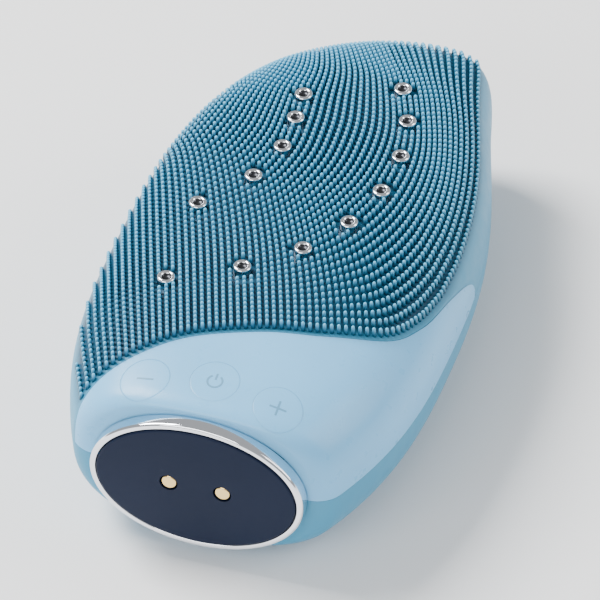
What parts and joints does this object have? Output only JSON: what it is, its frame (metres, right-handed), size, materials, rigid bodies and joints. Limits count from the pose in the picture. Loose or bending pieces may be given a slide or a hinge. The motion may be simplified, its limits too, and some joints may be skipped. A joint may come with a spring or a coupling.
{
  "type": "facial cleansing brush",
  "caption": "Palm-sized silicone facial cleansing brush: a bristle face set with metal contact pins, a smooth panel with press buttons, a vibrating motor inside and an oval chrome foot.",
  "frame": {"origin": "bottom centre of the brush's bounding box, as it lies on its back on a table", "axes": "+Y from the chrome foot towards the tip, +Z out of the bristle face, +X across to the side the tip leans to"},
  "size_m": [0.0654, 0.118, 0.0386],
  "materials": {
    "bristle_silicone": "satin",
    "panel_silicone": "satin",
    "housing_plastic": "matte",
    "grey_plastic": "matte",
    "dark_rubber": "matte",
    "seal_rubber": "matte",
    "chrome": "polished",
    "steel": "satin",
    "gold": "polished",
    "board_green": "satin",
    "black_plastic": "satin",
    "battery_wrap": "satin",
    "foam": "matte",
    "white_plastic": "gloss",
    "wire_red": "satin",
    "wire_black": "satin"
  },
  "bodies": {
    "brush": {"battery_cell": "battery_wrap", "battery_lead_black": "wire_black", "battery_lead_red": "wire_red", "battery_pad": "foam", "battery_plug": "white_plastic", "board_connector": "black_plastic", "charge_contact_left": "gold", "charge_contact_right": "gold", "control_board": "board_green", "control_chip": "black_plastic", "control_panel": "panel_silicone", "electrode_board": "board_green", "electrode_pin_01": "chrome", "electrode_pin_02": "chrome", "electrode_pin_03": "chrome", "electrode_pin_04": "chrome", "electrode_pin_05": "chrome", "electrode_pin_06": "chrome", "electrode_pin_07": "chrome", "electrode_pin_08": "chrome", "electrode_pin_09": "chrome", "electrode_pin_10": "chrome", "electrode_pin_11": "chrome", "electrode_pin_12": "chrome", "electrode_pin_13": "chrome", "foot_pad": "dark_rubber", "foot_plate": "grey_plastic", "foot_ring": "chrome", "foot_screw_left": "steel", "foot_screw_right": "steel", "front_housing": "housing_plastic", "front_skin": "bristle_silicone", "housing_screw_1": "steel", "housing_screw_2": "steel", "housing_screw_3": "steel", "housing_screw_4": "steel", "housing_seal": "seal_rubber", "minus_switch": "black_plastic", "motor_can": "steel", "motor_clamp": "steel", "motor_clamp_screw_left": "steel", "motor_clamp_screw_right": "steel", "motor_lead_black": "wire_black", "motor_lead_red": "wire_red", "plus_switch": "black_plastic", "power_switch": "black_plastic", "radio_module": "steel", "rear_housing": "housing_plastic", "rear_skin": "bristle_silicone", "status_led": "white_plastic"},
    "motor_rotor": {"eccentric_weight": "steel", "motor_shaft": "steel"},
    "minus_key": {"minus_button": "panel_silicone", "minus_plunger": "grey_plastic"},
    "plus_key": {"plus_button": "panel_silicone", "plus_plunger": "grey_plastic"},
    "power_key": {"power_button": "panel_silicone", "power_plunger": "grey_plastic"}
  },
  "joints": [
    {"name": "minus_press", "type": "slide", "parent": "brush", "child": "minus_key", "axis": [0, 0, -1], "range_m": [0, 0.0004], "stiffness_N_per_m": 3000},
    {"name": "power_press", "type": "slide", "parent": "brush", "child": "power_key", "axis": [0, 0, -1], "range_m": [0, 0.0004], "stiffness_N_per_m": 3000},
    {"name": "plus_press", "type": "slide", "parent": "brush", "child": "plus_key", "axis": [0, 0, -1], "range_m": [0, 0.0004], "stiffness_N_per_m": 3000},
    {"name": "rotor_spin", "type": "hinge", "parent": "brush", "child": "motor_rotor", "pos_m": [0, 0.011, 0.015], "axis": [0, 1, 0], "continuous": true}
  ]
}
